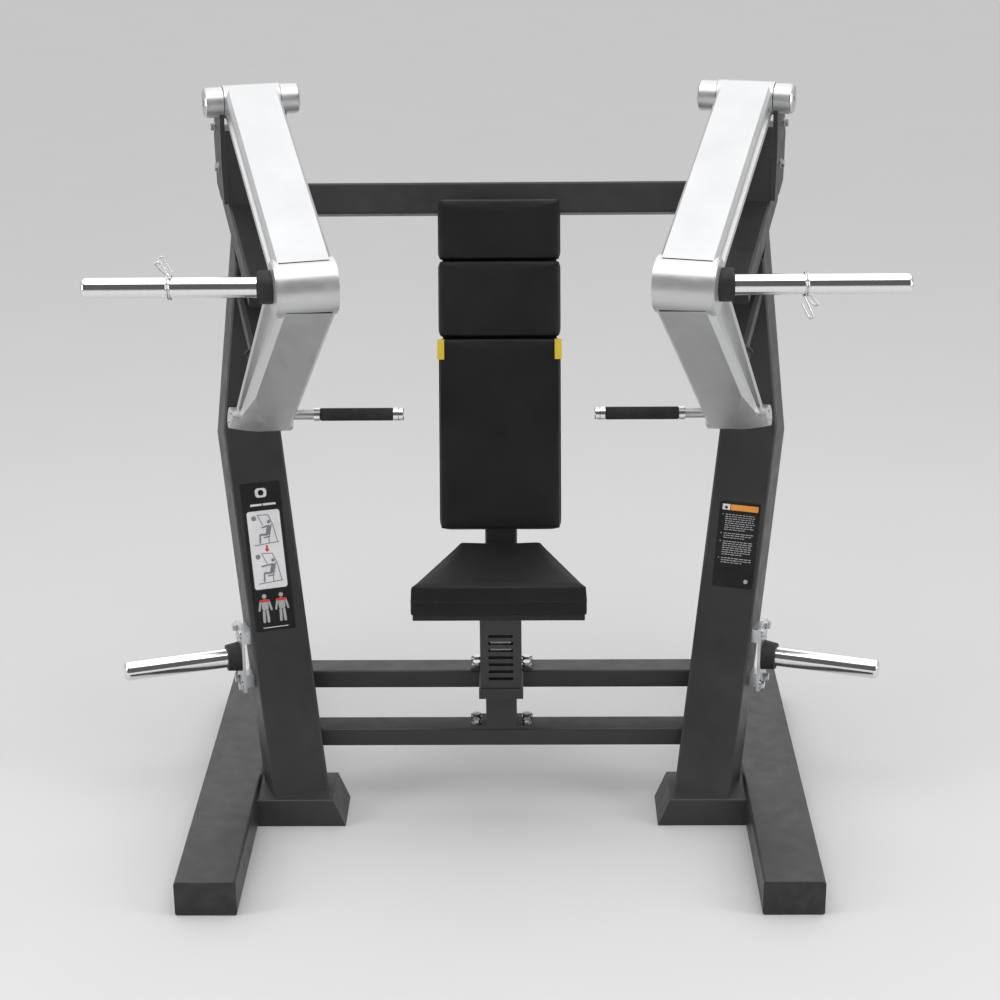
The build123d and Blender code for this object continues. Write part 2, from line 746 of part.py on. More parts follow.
def seat_outline(inset):
    rear = SEAT_REAR_WIDE / 2 - inset
    front = SEAT_FRONT_WIDE / 2 - inset
    return [(-rear, -inset), (-front, inset - SEAT_LONG), (front, inset - SEAT_LONG), (rear, -inset)]


def seat_cushion():
    pad = extrude(SEAT_TOP * filled(seat_outline(0)), -SEAT_THICK)
    return fillet(pad.edges().group_by(Axis(SEAT_TOP.origin, SEAT_TOP.z_dir))[-1], 10)


def seat_board():
    return extrude(shifted(SEAT_TOP, -SEAT_THICK) * filled(seat_outline(8)), -SEAT_BOARD)


def square_tube(outer, inner, low, high):
    start = Plane(at(0, POST_MIDDLE, low))
    return extrude(start * (Rectangle(outer, outer) - Rectangle(inner, inner)), high - low)


def seat_post():
    post = square_tube(POST, POST - 2 * WALL, SEAT_BAR_TOP + FLANGE[2], POST_TOP)
    return post + flange_at(POST_MIDDLE, SEAT_BAR_TOP)


LINER = SLEEVE - 2 * SLEEVE_WALL


def seat_sleeve():
    """Square sleeve over the post, slotted in front, with the plate that carries the seat."""
    sleeve = square_tube(SLEEVE, LINER, SLEEVE_BOTTOM, SLEEVE_TOP)
    for step in range(SLOTS):
        low = SLOT_LOWEST + step * SLOT_PITCH
        front = POST_MIDDLE - SLEEVE / 2
        sleeve = sleeve - block(at(-SLOT[0] / 2, front - 5, low), at(SLOT[0] / 2, front + 10, low + SLOT[1]))
    carrier = block(at(-95, POST_MIDDLE - 150, SLEEVE_TOP), at(95, POST_MIDDLE + 50, SLEEVE_TOP + 60))
    above = extrude(shifted(SEAT_TOP, -SEAT_THICK - SEAT_BOARD) * Rectangle(2000, 2000), 400)
    return sleeve + (carrier - above)


def seat_liner():
    """Nylon bush between post and sleeve, open in front along the ratchet slots."""
    liner = square_tube(LINER, POST + 2 * SLIDE_GAP, SLEEVE_BOTTOM, SLEEVE_TOP - 6)
    front = POST_MIDDLE - LINER / 2
    return liner - block(at(-32, front - 5, SLEEVE_BOTTOM + 30), at(32, front + 20, SLEEVE_TOP - 16))


def seat_collar():
    return square_tube(SLEEVE + 8, SLEEVE, SLEEVE_BOTTOM, SLEEVE_BOTTOM + 28)


def seat_pawl():
    """Spring tongue on the post's face that clicks into the sleeve's slots."""
    wide, thick, tall = PAWL
    front = POST_MIDDLE - POST / 2
    return block(at(-wide / 2, front - thick, PAWL_LOW), at(wide / 2, front, PAWL_LOW + tall))


# ---- fasteners, stops and placards --------------------------------------------------------
def column_bolts():
    """Hex bolts through the storage plates and through the pivot brackets."""
    seats = [storage_face(0) * Pos(rise, across) for rise in (-74, 74) for across in (-26, 26)]
    outer = shifted(ARM_SIDE, -STRUT_WIDE / 2 - BRACKET_THICK)
    for spot in ((84, -78), (44, -177)):
        seats.append(Plane((outer * Pos(*spot)).position, z_dir=ARM_ACROSS * -1))
    return [hex_bolt(seat) for seat in seats]


def flange_bolts():
    bolts = []
    for middle, low in ((POST_MIDDLE, SEAT_BAR_TOP), (BACK_BAR_FRONT + BAR_DEEP / 2, BACK_BAR_TOP)):
        for x in (-FLANGE[0] / 2 + 15, FLANGE[0] / 2 - 15):
            for back in (-18, 18):
                bolts.append(hex_bolt(Plane(at(x, middle + back, low + FLANGE[2]))))
    return bolts


def placard(middle, low, wide, tall):
    """A thin plate on the upright's front face, given in distances across and up it."""
    start = COLUMN * Pos(middle, low + tall / 2)
    plate = extrude(start * RectangleRounded(wide, tall, 6), 1.2)
    return plate


# ---- assembly ---------------------------------------------------------------------------
def build_frame():
    column = upright()
    add_pair("base_rail", base_rail(), GREY)
    add("rail_end_caps", rail_caps(), BLACK)
    add_pair("stub_foot", stub_foot(), GREY)
    add_pair("upright", column, GREY)
    add_pair("strut", strut(), GREY)
    add("seat_crossbar", trimmed_bar(SEAT_BAR_FRONT, SEAT_BAR_TOP - BAR_HIGH, BAR_HIGH, SEAT_BAR_HALF), GREY)
    add("back_crossbar", back_crossbar(), GREY)
    add("top_crossbar", top_crossbar(), GREY)
    add("pivot_brackets", group(with_mirrored(pivot_bracket())), BLACK)
    add("pivot_bosses", group(with_mirrored(pivot_bosses())), SILVER)
    add("pivot_axles", group(with_mirrored([pivot_axle()])), CHROME)
    add("pivot_caps", pivot_caps(), SILVER)
    solid_column = column_solid(0)
    add("storage_plates", group(with_mirrored([storage_plate(solid_column)])), SILVER)
    add("storage_horns", group(with_mirrored([storage_horn()])), CHROME)
    add("storage_collars", group(with_mirrored([storage_collar()])), BLACK)
    add("stop_bumpers", group(with_mirrored([stop_bumper()])), BLACK)
    add("stop_brackets", group(with_mirrored([stop_bracket(solid_column)])), GREY)
    add("frame_bolts", group(with_mirrored(column_bolts()) + flange_bolts()), CHROME)
    add("placard_left", placard(-18, 434, 104, 385), BLACK)
    add("placard_right", mirror(placard(-22, 541, 106, 221), about=Plane.YZ), BLACK)


def build_backrest():
    add("back_post", back_post(), GREY)
    add("back_board", back_board(), BLACK)
    add("board_straps", board_mounts(), GREY)
    back_cushions()
    add("pad_clips", pad_clips(), YELLOW)


def build_seat():
    add("seat_post", seat_post(), GREY)
    add("seat_sleeve", seat_sleeve(), GREY)
    add("seat_liner", seat_liner(), BLACK)
    add("seat_collar", seat_collar(), GREY)
    add("seat_pawl", seat_pawl(), CHROME)
    add("seat_board", seat_board(), BLACK)
    add("seat_cushion", seat_cushion(), BLACK)


def build_arms():
    beam_above = upper_arm()
    arm = lower_arm(beam_above)
    add_pair("upper_arm", beam_above, SILVER)
    add_pair("arm_bearings", arm_bearings(), CHROME)
    add_pair("elbow_drum", elbow_drum(), SILVER)
    add_pair("lower_arm", arm, SILVER)
    add_pair("hub_screws", hub_screws(), CHROME)
    add_pair("handle_bar", handle_bar(arm), CHROME)
    add_pair("grip", grip(), BLACK)
    add_pair("handle_trim", handle_trim(), CHROME)
    add_pair("plate_horn", plate_horn(), CHROME)
    add_pair("horn_collar", horn_collar(), BLACK)
    add("spring_clip_left", spring_clip(CLIP_PLACES[0], -1, 1), CHROME)
    add("spring_clip_right", spring_clip(CLIP_PLACES[1], 1, -1), CHROME)


def main():
    build_frame()
    build_backrest()
    build_seat()
    build_arms()
    os.makedirs("parts", exist_ok=True)
    for name, shape in parts.items():
        export_step(shape, "parts/" + name + ".step")
    whole = Compound(children=list(parts.values())).bounding_box()
    print(len(parts), "nodes; box", whole.min, whole.max)


main()
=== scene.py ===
import json
import random
from math import asin, atan2, cos, pi, radians, sin, tau

import bmesh
import bpy
from mathutils import Matrix, Vector
from mathutils.bvhtree import BVHTree


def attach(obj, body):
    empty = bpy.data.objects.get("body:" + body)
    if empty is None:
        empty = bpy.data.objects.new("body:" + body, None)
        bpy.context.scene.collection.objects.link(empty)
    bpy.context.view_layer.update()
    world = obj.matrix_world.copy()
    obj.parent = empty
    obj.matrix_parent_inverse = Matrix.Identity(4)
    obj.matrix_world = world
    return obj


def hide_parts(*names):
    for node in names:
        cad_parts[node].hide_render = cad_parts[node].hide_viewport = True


# Looks of the plate-loaded chest press, in metres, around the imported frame.
# The machine's shape comes from the frame; this script adds materials, finer soft and wire
# pieces, printed art, a plain studio and the camera.

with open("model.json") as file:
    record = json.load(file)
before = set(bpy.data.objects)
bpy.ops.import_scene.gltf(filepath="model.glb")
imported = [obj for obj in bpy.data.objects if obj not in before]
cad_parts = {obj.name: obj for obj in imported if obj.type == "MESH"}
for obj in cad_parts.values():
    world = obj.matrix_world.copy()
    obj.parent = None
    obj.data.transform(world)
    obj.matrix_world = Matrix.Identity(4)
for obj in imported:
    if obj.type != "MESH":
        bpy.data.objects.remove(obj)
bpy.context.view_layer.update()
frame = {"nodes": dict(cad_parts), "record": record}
scene = bpy.context.scene

# ---- driving values, repeated from the CAD design in metres ----------------------
HALF_DEPTH = 0.6
RECLINE = radians(16.6)
PAD_FOOT = Vector((0, 0.716 - HALF_DEPTH, 0.716))
PAD_WIDE = 0.314
PAD_THICK = 0.072
PAD_LENGTHS = (("lower", 0.499), ("middle", 0.199), ("upper", 0.155))
PAD_GAP = 0.001
PAD_CAP = 0.0019          # how far the pressure may move a point of a back pad
SEAT_RISE = radians(4.3)
SEAT_REAR = Vector((0, 0.705 - HALF_DEPTH, 0.690))
SEAT_LONG = 0.371
SEAT_WIDE_FRONT = 0.439
SEAT_WIDE_REAR = 0.217
SEAT_THICK = 0.076
SEAT_CAP = 0.0030
HORN_R = 0.025
HORN_AXIS = (0.400 - HALF_DEPTH, 1.456)     # y, z
CLIP_WIRE = 0.0023
CLIP_SLACK = 0.0002
CLIP_PITCH = 0.0052
CLIP_PLACES = {"left": -0.768, "right": 0.727}
CLIP_TURN = (radians(-30), radians(745))    # the wire's first and last angle round the horn
CLIP_STEPS = 16                             # points a turn
ARM_YAW = radians(15.5)
PIVOT = Vector((-0.641, 1.080 - HALF_DEPTH, 1.771))
ELBOW = Vector((-0.447, *HORN_AXIS))
HUB = Vector((-0.600, 0.715 - HALF_DEPTH, 1.024))
PIVOT_TUBE_R = 0.042
DRUM_R = 0.069
HUB_R = 0.032
GRIP_SPAN = (0.270, 0.457)
GRIP_R = 0.0165
GRIP_ROLL = 0.0022        # the ends round down by this, over the next length
GRIP_ROLL_LONG = 0.004
RING_DEPTH = 0.00035
RING_PITCH = 0.0062
HANDLE_AXIS = (0.715 - HALF_DEPTH, 1.035)   # y, z
COLUMN_YAW = radians(18)
COLUMN_LEAN = radians(20.5)
COLUMN_FOOT = Vector((-0.519, 0.472 - HALF_DEPTH, 0.075))
# Painted shade strips: black strips stand in for the shade in the seams where the arm beams meet the elbow
# drum.
SHADE_STRIP_BACK = 0.006          # shadow gap, this far short of where a beam's face meets the drum
SHADE_STRIP_SINK = 0.0006
SHADE_STRIP_WIDE = 0.0035
SHADE_STRIP_THICK = 0.0026
LATHE_STEPS = 40
OUTWARD = {"left": -1, "right": 1}          # which way along X is away from the middle

# ---- cushion covers ---------------------------------------------------------------
PAD_SHRINK = 0.0016       # the blank starts this much inside the CAD block
PAD_TOP_ROUND = 0.0045
PAD_LOW_ROUND = 0.005
VOXEL = 0.005
HELD_DEPTH = 0.006        # the cover's back is held this far up from the board
PRESSURE = 4.0
CLOTH_FRAMES = 20
SEAM_DEPTH = 0.55         # of the pad's thickness, down from its face
STITCH_RISE = 0.006       # the stitch row runs this far above the piping
STITCH_PITCH = 0.0075
STITCH_SIZE = (0.0027, 0.0007, 0.0006)
PIPING_PITCH = 0.012
PIPING_R = 0.0016
SEAM_REACH = 0.02         # the seam is looked for from this far outside the cover

# ---- placards: print levels above the upright's front face ---------------------------
PRINT_LIFT = 0.0015
SKETCH_LIFT = 0.0019
FIGURE_LIFT = 0.0018
LEVEL_STEP = 0.0002
PRINT_THICK = 0.0003

# ---- studio levels --------------------------------------------------------------
PALE_WALL = 0.62
DIM_WALL = 0.12
SIDE_WALL = 0.55
CEILING = 1.55
CEILING_SLOPE = 0.35      # the bright ceiling reaches lower behind the machine
TOP_WATTS = 50
SIDE_WATTS = 60
FRONT_WATTS = 100         # a fill for matt fronts; it does not show in reflections
FLOOR_TONE = 0.52
FLOOR_REACH = 20.0        # past the top of the view, so no horizon shows
FLOOR_DROP = -0.0005      # just under the feet, so the faces do not flicker

# ---- camera -----------------------------------------------------------------------
CAMERA_PLACE = Vector((0.088, -4.607 - HALF_DEPTH, 2.811))
CAMERA_LENS = 79.2
CAMERA_PITCH = radians(20.7)
CAMERA_YAW = radians(0.95)
CAMERA_ROLL = radians(-0.58)


# ---- materials -----------------------------------------------------------------
def new_material(name, colour, metallic=0.0, roughness=0.5, specular=0.5):
    mat = bpy.data.materials.new(name)
    mat.use_nodes = True
    shader = mat.node_tree.nodes["Principled BSDF"]
    shader.inputs["Base Color"].default_value = (*colour, 1)
    shader.inputs["Metallic"].default_value = metallic
    shader.inputs["Roughness"].default_value = roughness
    shader.inputs["Specular IOR Level"].default_value = specular
    mat.diffuse_color = (*colour, 1)
    return mat, mat.node_tree, shader


def noise(tree, scale, detail, stretch=(1, 1, 1), rough=0.55):
    """Noise in the part's own metres; a small stretch factor lengthens it along that axis."""
    place = tree.nodes.new("ShaderNodeTexCoord")
    mapping = tree.nodes.new("ShaderNodeMapping")
    mapping.inputs["Scale"].default_value = stretch
    tree.links.new(place.outputs["Object"], mapping.inputs["Vector"])
    texture = tree.nodes.new("ShaderNodeTexNoise")
    texture.inputs["Scale"].default_value = scale
    texture.inputs["Detail"].default_value = detail
    texture.inputs["Roughness"].default_value = rough
    tree.links.new(mapping.outputs["Vector"], texture.inputs["Vector"])
    return texture.outputs["Fac"]


def cells(tree, scale):
    """Distance from the nearest edge of a pebble pattern."""
    place = tree.nodes.new("ShaderNodeTexCoord")
    texture = tree.nodes.new("ShaderNodeTexVoronoi")
    texture.feature = "DISTANCE_TO_EDGE"
    texture.inputs["Scale"].default_value = scale
    tree.links.new(place.outputs["Object"], texture.inputs["Vector"])
    return texture.outputs["Distance"]


def remap(tree, value, low, high, to_low, to_high):
    node = tree.nodes.new("ShaderNodeMapRange")
    node.inputs["From Min"].default_value = low
    node.inputs["From Max"].default_value = high
    node.inputs["To Min"].default_value = to_low
    node.inputs["To Max"].default_value = to_high
    tree.links.new(value, node.inputs["Value"])
    return node.outputs["Result"]


def blend_colour(tree, factor, first, second):
    node = tree.nodes.new("ShaderNodeMix")
    node.data_type = "RGBA"
    tree.links.new(factor, node.inputs["Factor"])
    for socket, colour in ((node.inputs[6], first), (node.inputs[7], second)):
        if isinstance(colour, bpy.types.NodeSocket):
            tree.links.new(colour, socket)
        else:
            socket.default_value = (*colour, 1)
    return node.outputs[2]


def bump(tree, shader, heights):
    """Chain several (height, strength, distance) bumps into the shader's normal."""
    last = None
    for height, strength, distance in heights:
        node = tree.nodes.new("ShaderNodeBump")
        node.inputs["Strength"].default_value = strength
        node.inputs["Distance"].default_value = distance
        tree.links.new(height, node.inputs["Height"])
        if last is not None:
            tree.links.new(last, node.inputs["Normal"])
        last = node.outputs["Normal"]
    tree.links.new(last, shader.inputs["Normal"])


def edge_mask(tree, radius):
    """About 1 along sharp outer edges and 0 on flats."""
    rounded = tree.nodes.new("ShaderNodeBevel")
    rounded.samples = 4
    rounded.inputs["Radius"].default_value = radius
    place = tree.nodes.new("ShaderNodeNewGeometry")
    dot = tree.nodes.new("ShaderNodeVectorMath")
    dot.operation = "DOT_PRODUCT"
    tree.links.new(rounded.outputs["Normal"], dot.inputs[0])
    tree.links.new(place.outputs["Normal"], dot.inputs[1])
    return remap(tree, dot.outputs["Value"], 0.86, 0.99, 1, 0)


def multiply(tree, first, second):
    node = tree.nodes.new("ShaderNodeMath")
    node.operation = "MULTIPLY"
    tree.links.new(first, node.inputs[0])
    tree.links.new(second, node.inputs[1])
    return node.outputs[0]


def coated_steel(name, dark, light, roughness):
    """Powder coat: orange peel, cloudy tone, fine scuffs, and edges painted lighter in patches: wear along
    the edges with a painted highlight.
    """
    mat, tree, shader = new_material(name, light, 0.0, roughness, 0.4)
    cloud = remap(tree, noise(tree, 5, 5), 0.35, 0.65, 0, 1)
    tone = blend_colour(tree, cloud, dark, light)
    scuff = remap(tree, noise(tree, 60, 6, (0.25, 0.25, 3.0), 0.7), 0.66, 0.76, 0, 0.35)
    worn = tuple(min(1, c * 1.5 + 0.02) for c in light)
    colour = blend_colour(tree, scuff, tone, worn)
    # Painted highlight and wear: the edges are painted much lighter in patches, standing for worn paint and
    # for light catching the edges.
    patchy = remap(tree, noise(tree, 35, 5), 0.4, 0.7, 0.15, 0.8)
    worn_and_highlit_edges = multiply(tree, edge_mask(tree, 0.0022), patchy)
    colour = blend_colour(tree, worn_and_highlit_edges, colour, tuple(c * 2.6 + 0.01 for c in light))
    tree.links.new(colour, shader.inputs["Base Color"])
    rough = remap(tree, noise(tree, 24, 5), 0.3, 0.7, roughness - 0.06, roughness + 0.08)
    tree.links.new(rough, shader.inputs["Roughness"])
    bump(tree, shader, [(noise(tree, 700, 3), 0.10, 0.0004), (noise(tree, 2200, 2), 0.07, 0.0002)])
    return mat


def silver_coat():
    """Metallic silver powder coat with fine flake, and a painted highlight along its edges."""
    mat, tree, shader = new_material("silver_paint", (0.56, 0.565, 0.57), 0.85, 0.34, 0.5)
    flake = remap(tree, noise(tree, 2600, 2), 0.35, 0.65, 0, 1)
    cloud = remap(tree, noise(tree, 7, 4), 0.3, 0.7, 0, 1)
    tone = blend_colour(tree, cloud, (0.52, 0.523, 0.53), (0.575, 0.578, 0.585))
    colour = blend_colour(tree, remap(tree, flake, 0, 1, 0, 0.35), tone, (0.73, 0.735, 0.74))
    # Painted highlight: every sharp edge is painted half way towards near-white.
    edge = remap(tree, edge_mask(tree, 0.002), 0, 1, 0, 0.5)
    colour = blend_colour(tree, edge, colour, (0.85, 0.85, 0.86))
    tree.links.new(colour, shader.inputs["Base Color"])
    rough = remap(tree, noise(tree, 30, 5), 0.3, 0.7, 0.31, 0.43)
    tree.links.new(rough, shader.inputs["Roughness"])
    bump(tree, shader, [(noise(tree, 900, 3), 0.06, 0.0003)])
    return mat


def bright_metal(name, colour, roughness, stretch, line_scale, strength=0.05):
    """Turned or drawn metal: fine lines across the stretch, faint handling marks."""
    mat, tree, shader = new_material(name, colour, 1.0, roughness, 0.5)
    lines = noise(tree, line_scale, 3, stretch)
    smudge = remap(tree, noise(tree, 18, 5), 0.35, 0.7, roughness * 0.8, roughness * 1.5 + 0.02)
    tree.links.new(smudge, shader.inputs["Roughness"])
    darker = tuple(c * 0.86 for c in colour)
    tone = blend_colour(tree, remap(tree, lines, 0.3, 0.7, 0, 1), darker, colour)
    tree.links.new(tone, shader.inputs["Base Color"])
    bump(tree, shader, [(lines, strength, 0.0002)])
    return mat


def rubbery(name, colour, roughness, grain, strength):
    """Rubber, foam or moulded plastic: dusty tone and a fine grain."""
    mat, tree, shader = new_material(name, colour, 0.0, roughness, 0.35)
    dusty = tuple(c * 1.9 + 0.004 for c in colour)
    tone = blend_colour(tree, remap(tree, noise(tree, 25, 6), 0.4, 0.75, 0, 0.7), colour, dusty)
    tree.links.new(tone, shader.inputs["Base Color"])
    rough = remap(tree, noise(tree, 60, 4), 0.3, 0.7, roughness - 0.07, min(1, roughness + 0.08))
    tree.links.new(rough, shader.inputs["Roughness"])
    bump(tree, shader, [(noise(tree, grain, 3), strength, 0.0005)])
    return mat


def vinyl():
    """Upholstery vinyl: pebbled grain, soft creases, slightly shinier on the ridges."""
    mat, tree, shader = new_material("upholstery", (0.0085, 0.0085, 0.009), 0.0, 0.5, 0.2)
    pebble = remap(tree, cells(tree, 620), 0.0, 0.35, 0, 1)
    crease = noise(tree, 45, 6)
    cloud = remap(tree, noise(tree, 9, 5), 0.3, 0.7, 0, 1)
    tone = blend_colour(tree, cloud, (0.0065, 0.0065, 0.007), (0.0105, 0.0105, 0.0112))
    tree.links.new(tone, shader.inputs["Base Color"])
    tree.links.new(remap(tree, pebble, 0, 1, 0.6, 0.46), shader.inputs["Roughness"])
    bump(tree, shader, [(crease, 0.12, 0.002), (pebble, 0.35, 0.00025)])
    return mat


def wood_ply():
    """Black-stained plywood with its grain along X."""
    mat, tree, shader = new_material("plywood", (0.012, 0.0115, 0.011), 0.0, 0.65, 0.3)
    grain = noise(tree, 40, 6, (1.0, 8.0, 8.0))
    streak = remap(tree, grain, 0.35, 0.65, 0, 1)
    tone = blend_colour(tree, streak, (0.009, 0.0085, 0.008), (0.02, 0.0185, 0.017))
    tree.links.new(tone, shader.inputs["Base Color"])
    bump(tree, shader, [(grain, 0.25, 0.0004)])
    return mat


def film(name, colour, roughness=0.35):
    """Printed film: faint tone change and a soft sheen."""
    mat, tree, shader = new_material(name, colour, 0.0, roughness, 0.5)
    faded = tuple(min(1, c * 1.12 + 0.006) for c in colour)
    tone = blend_colour(tree, remap(tree, noise(tree, 14, 4), 0.35, 0.7, 0, 1), colour, faded)
    tree.links.new(tone, shader.inputs["Base Color"])
    bump(tree, shader, [(noise(tree, 1500, 2), 0.05, 0.0001)])
    return mat


MATERIALS = {
    "charcoal_paint": coated_steel("charcoal_paint", (0.022, 0.0223, 0.0235), (0.030, 0.0303, 0.032), 0.42),
    "silver_paint": silver_coat(),
    "horn_chrome": bright_metal("horn_chrome", (0.86, 0.86, 0.87), 0.10, (1.0, 0.02, 0.02), 1400, 0.02),
    "handle_steel": bright_metal("handle_steel", (0.60, 0.60, 0.61), 0.38, (0.03, 1, 1), 900, 0.08),
    "trim_chrome": bright_metal("trim_chrome", (0.84, 0.84, 0.85), 0.12, (1.0, 0.05, 0.05), 1200),
    "spring_wire": bright_metal("spring_wire", (0.76, 0.76, 0.77), 0.2, (1, 1, 1), 700),
    "grip_rubber": rubbery("grip_rubber", (0.012, 0.012, 0.0125), 0.8, 900, 0.55),
    "black_rubber": rubbery("black_rubber", (0.012, 0.012, 0.0125), 0.62, 500, 0.25),
    "black_plastic": rubbery("black_plastic", (0.02, 0.02, 0.0215), 0.5, 1100, 0.2),
    "yellow_plastic": film("yellow_plastic", (0.50, 0.36, 0.025), 0.4),
    "placard_film": film("placard_film", (0.008, 0.008, 0.0085), 0.3),
    "zinc_steel": bright_metal("zinc_steel", (0.62, 0.63, 0.65), 0.3, (1, 1, 1), 500, 0.1),
    "satin_plate": bright_metal("satin_plate", (0.62, 0.63, 0.64), 0.32, (1, 1, 0.05), 700, 0.08),
    "plywood": wood_ply(),
    "upholstery": vinyl(),
}
PALE_FILM = film("pale_film", (0.55, 0.55, 0.56))
GREY_FILM = film("grey_film", (0.16, 0.16, 0.17))
MID_FILM = film("mid_film", (0.30, 0.30, 0.31))
RED_FILM = film("red_film", (0.50, 0.035, 0.03))
ORANGE_FILM = film("orange_film", (0.62, 0.23, 0.03))
THREAD = rubbery("thread", (0.03, 0.03, 0.032), 0.7, 2500, 0.3)


def dress_frame():
    """Every CAD node takes the material of its slot."""
    for part in frame["record"]["subparts"]:
        node = frame["nodes"][part["node"]]
        node.data.materials.clear()
        node.data.materials.append(MATERIALS[part["material_slot"]])


# ---- mesh helpers ----------------------------------------------------------------
def link(name, data):
    """A new object of the data, in the scene."""
    obj = bpy.data.objects.new(name, data)
    scene.collection.objects.link(obj)
    return obj


def put(name, mesh, material, body, smooth=True):
    """A visible piece of one material, riding on a body."""
    obj = link(name, mesh)
    mesh.materials.clear()
    mesh.materials.append(material)
    for polygon in mesh.polygons:
        polygon.use_smooth = smooth
    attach(obj, body)
    return obj


def finished(work, name):
    """Close a bmesh into a new mesh."""
    mesh = bpy.data.meshes.new(name)
    work.to_mesh(mesh)
    work.free()
    return mesh


def evaluated_copy(obj):
    """The object's mesh with its modifiers applied."""
    graph = bpy.context.evaluated_depsgraph_get()
    return bpy.data.meshes.new_from_object(obj.evaluated_get(graph), depsgraph=graph)


def tube_along(name, points, radius, resolution, cyclic=False):
    """A round wire near a line of points, as a mesh."""
    curve = bpy.data.curves.new(name, "CURVE")
    curve.dimensions = "3D"
    curve.bevel_depth = radius
    curve.bevel_resolution = 3
    curve.resolution_u = resolution
    curve.use_fill_caps = True
    spline = curve.splines.new("NURBS")
    spline.points.add(len(points) - 1)
    for point, place in zip(spline.points, points):
        point.co = (*place, 1)
    spline.order_u = 3
    spline.use_endpoint_u = not cyclic
    spline.use_cyclic_u = cyclic
    holder = link(name, curve)
    mesh = evaluated_copy(holder)
    bpy.data.objects.remove(holder)
    return mesh


def lathe(profile):
    """A closed turned mesh about X from (x, radius) points."""
    steps = LATHE_STEPS
    work = bmesh.new()
    turns = [tau * k / steps for k in range(steps)]
    rings = []
    for x, radius in profile:
        rings.append([work.verts.new((x, radius * cos(turn), radius * sin(turn))) for turn in turns])
    for near, far in zip(rings, rings[1:]):
        for k in range(steps):
            nxt = (k + 1) % steps
            work.faces.new((near[k], near[nxt], far[nxt], far[k]))
    work.faces.new(list(reversed(rings[0])))
    work.faces.new(rings[-1])
    bmesh.ops.recalc_face_normals(work, faces=work.faces)
    return finished(work, "lathe")


def on_side(mesh, side):
    """Turned handle pieces are made for the right side; this sets them on the handle's line."""
    out = OUTWARD[side]
    mesh.transform(Matrix.Translation((0, *HANDLE_AXIS)) @ Matrix.Diagonal((out, 1, 1, 1)))
    if out < 0:
        mesh.flip_normals()
    return mesh


# ---- cushions --------------------------------------------------------------------
def cushion_blank(outline, thick):
    """Rounded block: outline at z = 0 facing +z, body below it, a little undersized."""
    shrink = PAD_SHRINK
    work = bmesh.new()
    middle = sum((Vector((x, y)) for x, y in outline), Vector((0, 0))) / len(outline)
    face = []
    for x, y in outline:
        away = Vector((x, y)) - middle
        inset = Vector((shrink if away.x > 0 else -shrink, shrink if away.y > 0 else -shrink))
        inner = Vector((x, y)) - inset
        face.append(work.verts.new((inner.x, inner.y, -shrink)))
    front = work.faces.new(face)
    body = bmesh.ops.extrude_face_region(work, geom=[front])
    lowered = [v for v in body["geom"] if isinstance(v, bmesh.types.BMVert)]
    bmesh.ops.translate(work, verts=lowered, vec=(0, 0, shrink - thick))
    bmesh.ops.recalc_face_normals(work, faces=work.faces)
    top = [e for e in work.edges if all(v.co.z > -thick / 2 for v in e.verts)]
    bmesh.ops.bevel(work, geom=top, offset=PAD_TOP_ROUND, segments=3, profile=0.6, affect="EDGES")
    low = [e for e in work.edges if all(v.co.z < -thick * 0.9 for v in e.verts)]
    bmesh.ops.bevel(work, geom=low, offset=PAD_LOW_ROUND, segments=2, profile=0.6, affect="EDGES")
    return finished(work, "blank")


def even_mesh(mesh):
    """Remesh a closed shape into small even faces."""
    holder = link("blank", mesh)
    remesh = holder.modifiers.new("voxels", "REMESH")
    remesh.mode = "VOXEL"
    remesh.voxel_size = VOXEL
    even = evaluated_copy(holder)
    bpy.data.objects.remove(holder)
    return even


def inflate(mesh, thick, cap):
    """Swell the cover by cloth pressure; its back is held, and no point moves past the cap."""
    holder = link("cover", mesh)
    held = holder.vertex_groups.new(name="held")
    held.add([v.index for v in mesh.vertices if v.co.z < -thick + HELD_DEPTH], 1.0, "ADD")
    cloth = holder.modifiers.new("cloth", "CLOTH")
    settings = cloth.settings
    settings.quality = 4
    settings.mass = 0.4
    settings.tension_stiffness = 30
    settings.compression_stiffness = 30
    settings.bending_stiffness = 2
    settings.use_pressure = True
    settings.uniform_pressure_force = PRESSURE
    settings.effector_weights.gravity = 0
    settings.vertex_group_mass = "held"
    cloth.point_cache.frame_end = CLOTH_FRAMES
    start = [v.co.copy() for v in mesh.vertices]
    for step in range(1, CLOTH_FRAMES + 1):
        scene.frame_set(step)
    swollen = evaluated_copy(holder)
    for vertex, home in zip(swollen.vertices, start):
        move = vertex.co - home
        if move.length > cap:
            vertex.co = home + move * (cap / move.length)
    bpy.data.objects.remove(holder)
    scene.frame_set(1)
    return swollen


def side_path(outline, depth, spacing):
    """Points round the outline at one depth, evenly spaced, each with its direction."""
    points = []
    for k, (x, y) in enumerate(outline):
        nxt = outline[(k + 1) % len(outline)]
        start, end = Vector((x, y, depth)), Vector((nxt[0], nxt[1], depth))
        steps = max(2, round((end - start).length / spacing))
        for step in range(steps):
            points.append((start.lerp(end, (step + 0.5) / steps), (end - start).normalized()))
    return points


def seam(surface, outline, depth, spacing):
    """Spots on the cover's side at one depth: place, normal and the direction of the seam."""
    tree = BVHTree.FromPolygons([v.co for v in surface.vertices],
                                [p.vertices for p in surface.polygons])
    for place, along in side_path(outline, depth, spacing):
        outward = Vector((along.y, -along.x, 0))
        if outward.dot(place) < 0:
            outward = -outward
        spot, normal, _, _ = tree.find_nearest(place + outward * SEAM_REACH)
        yield spot, normal, along


def stitches(surface, outline, depth, name):
    """A row of short thread stitches lying on the cover."""
    work = bmesh.new()
    for spot, normal, along in seam(surface, outline, depth, STITCH_PITCH):
        turn = Matrix((along, normal.cross(along), normal)).transposed().to_4x4()
        shape = Matrix.Translation(spot) @ turn @ Matrix.Diagonal((*STITCH_SIZE, 1))
        bmesh.ops.create_icosphere(work, subdivisions=1, radius=1.0, matrix=shape)
    return finished(work, name)


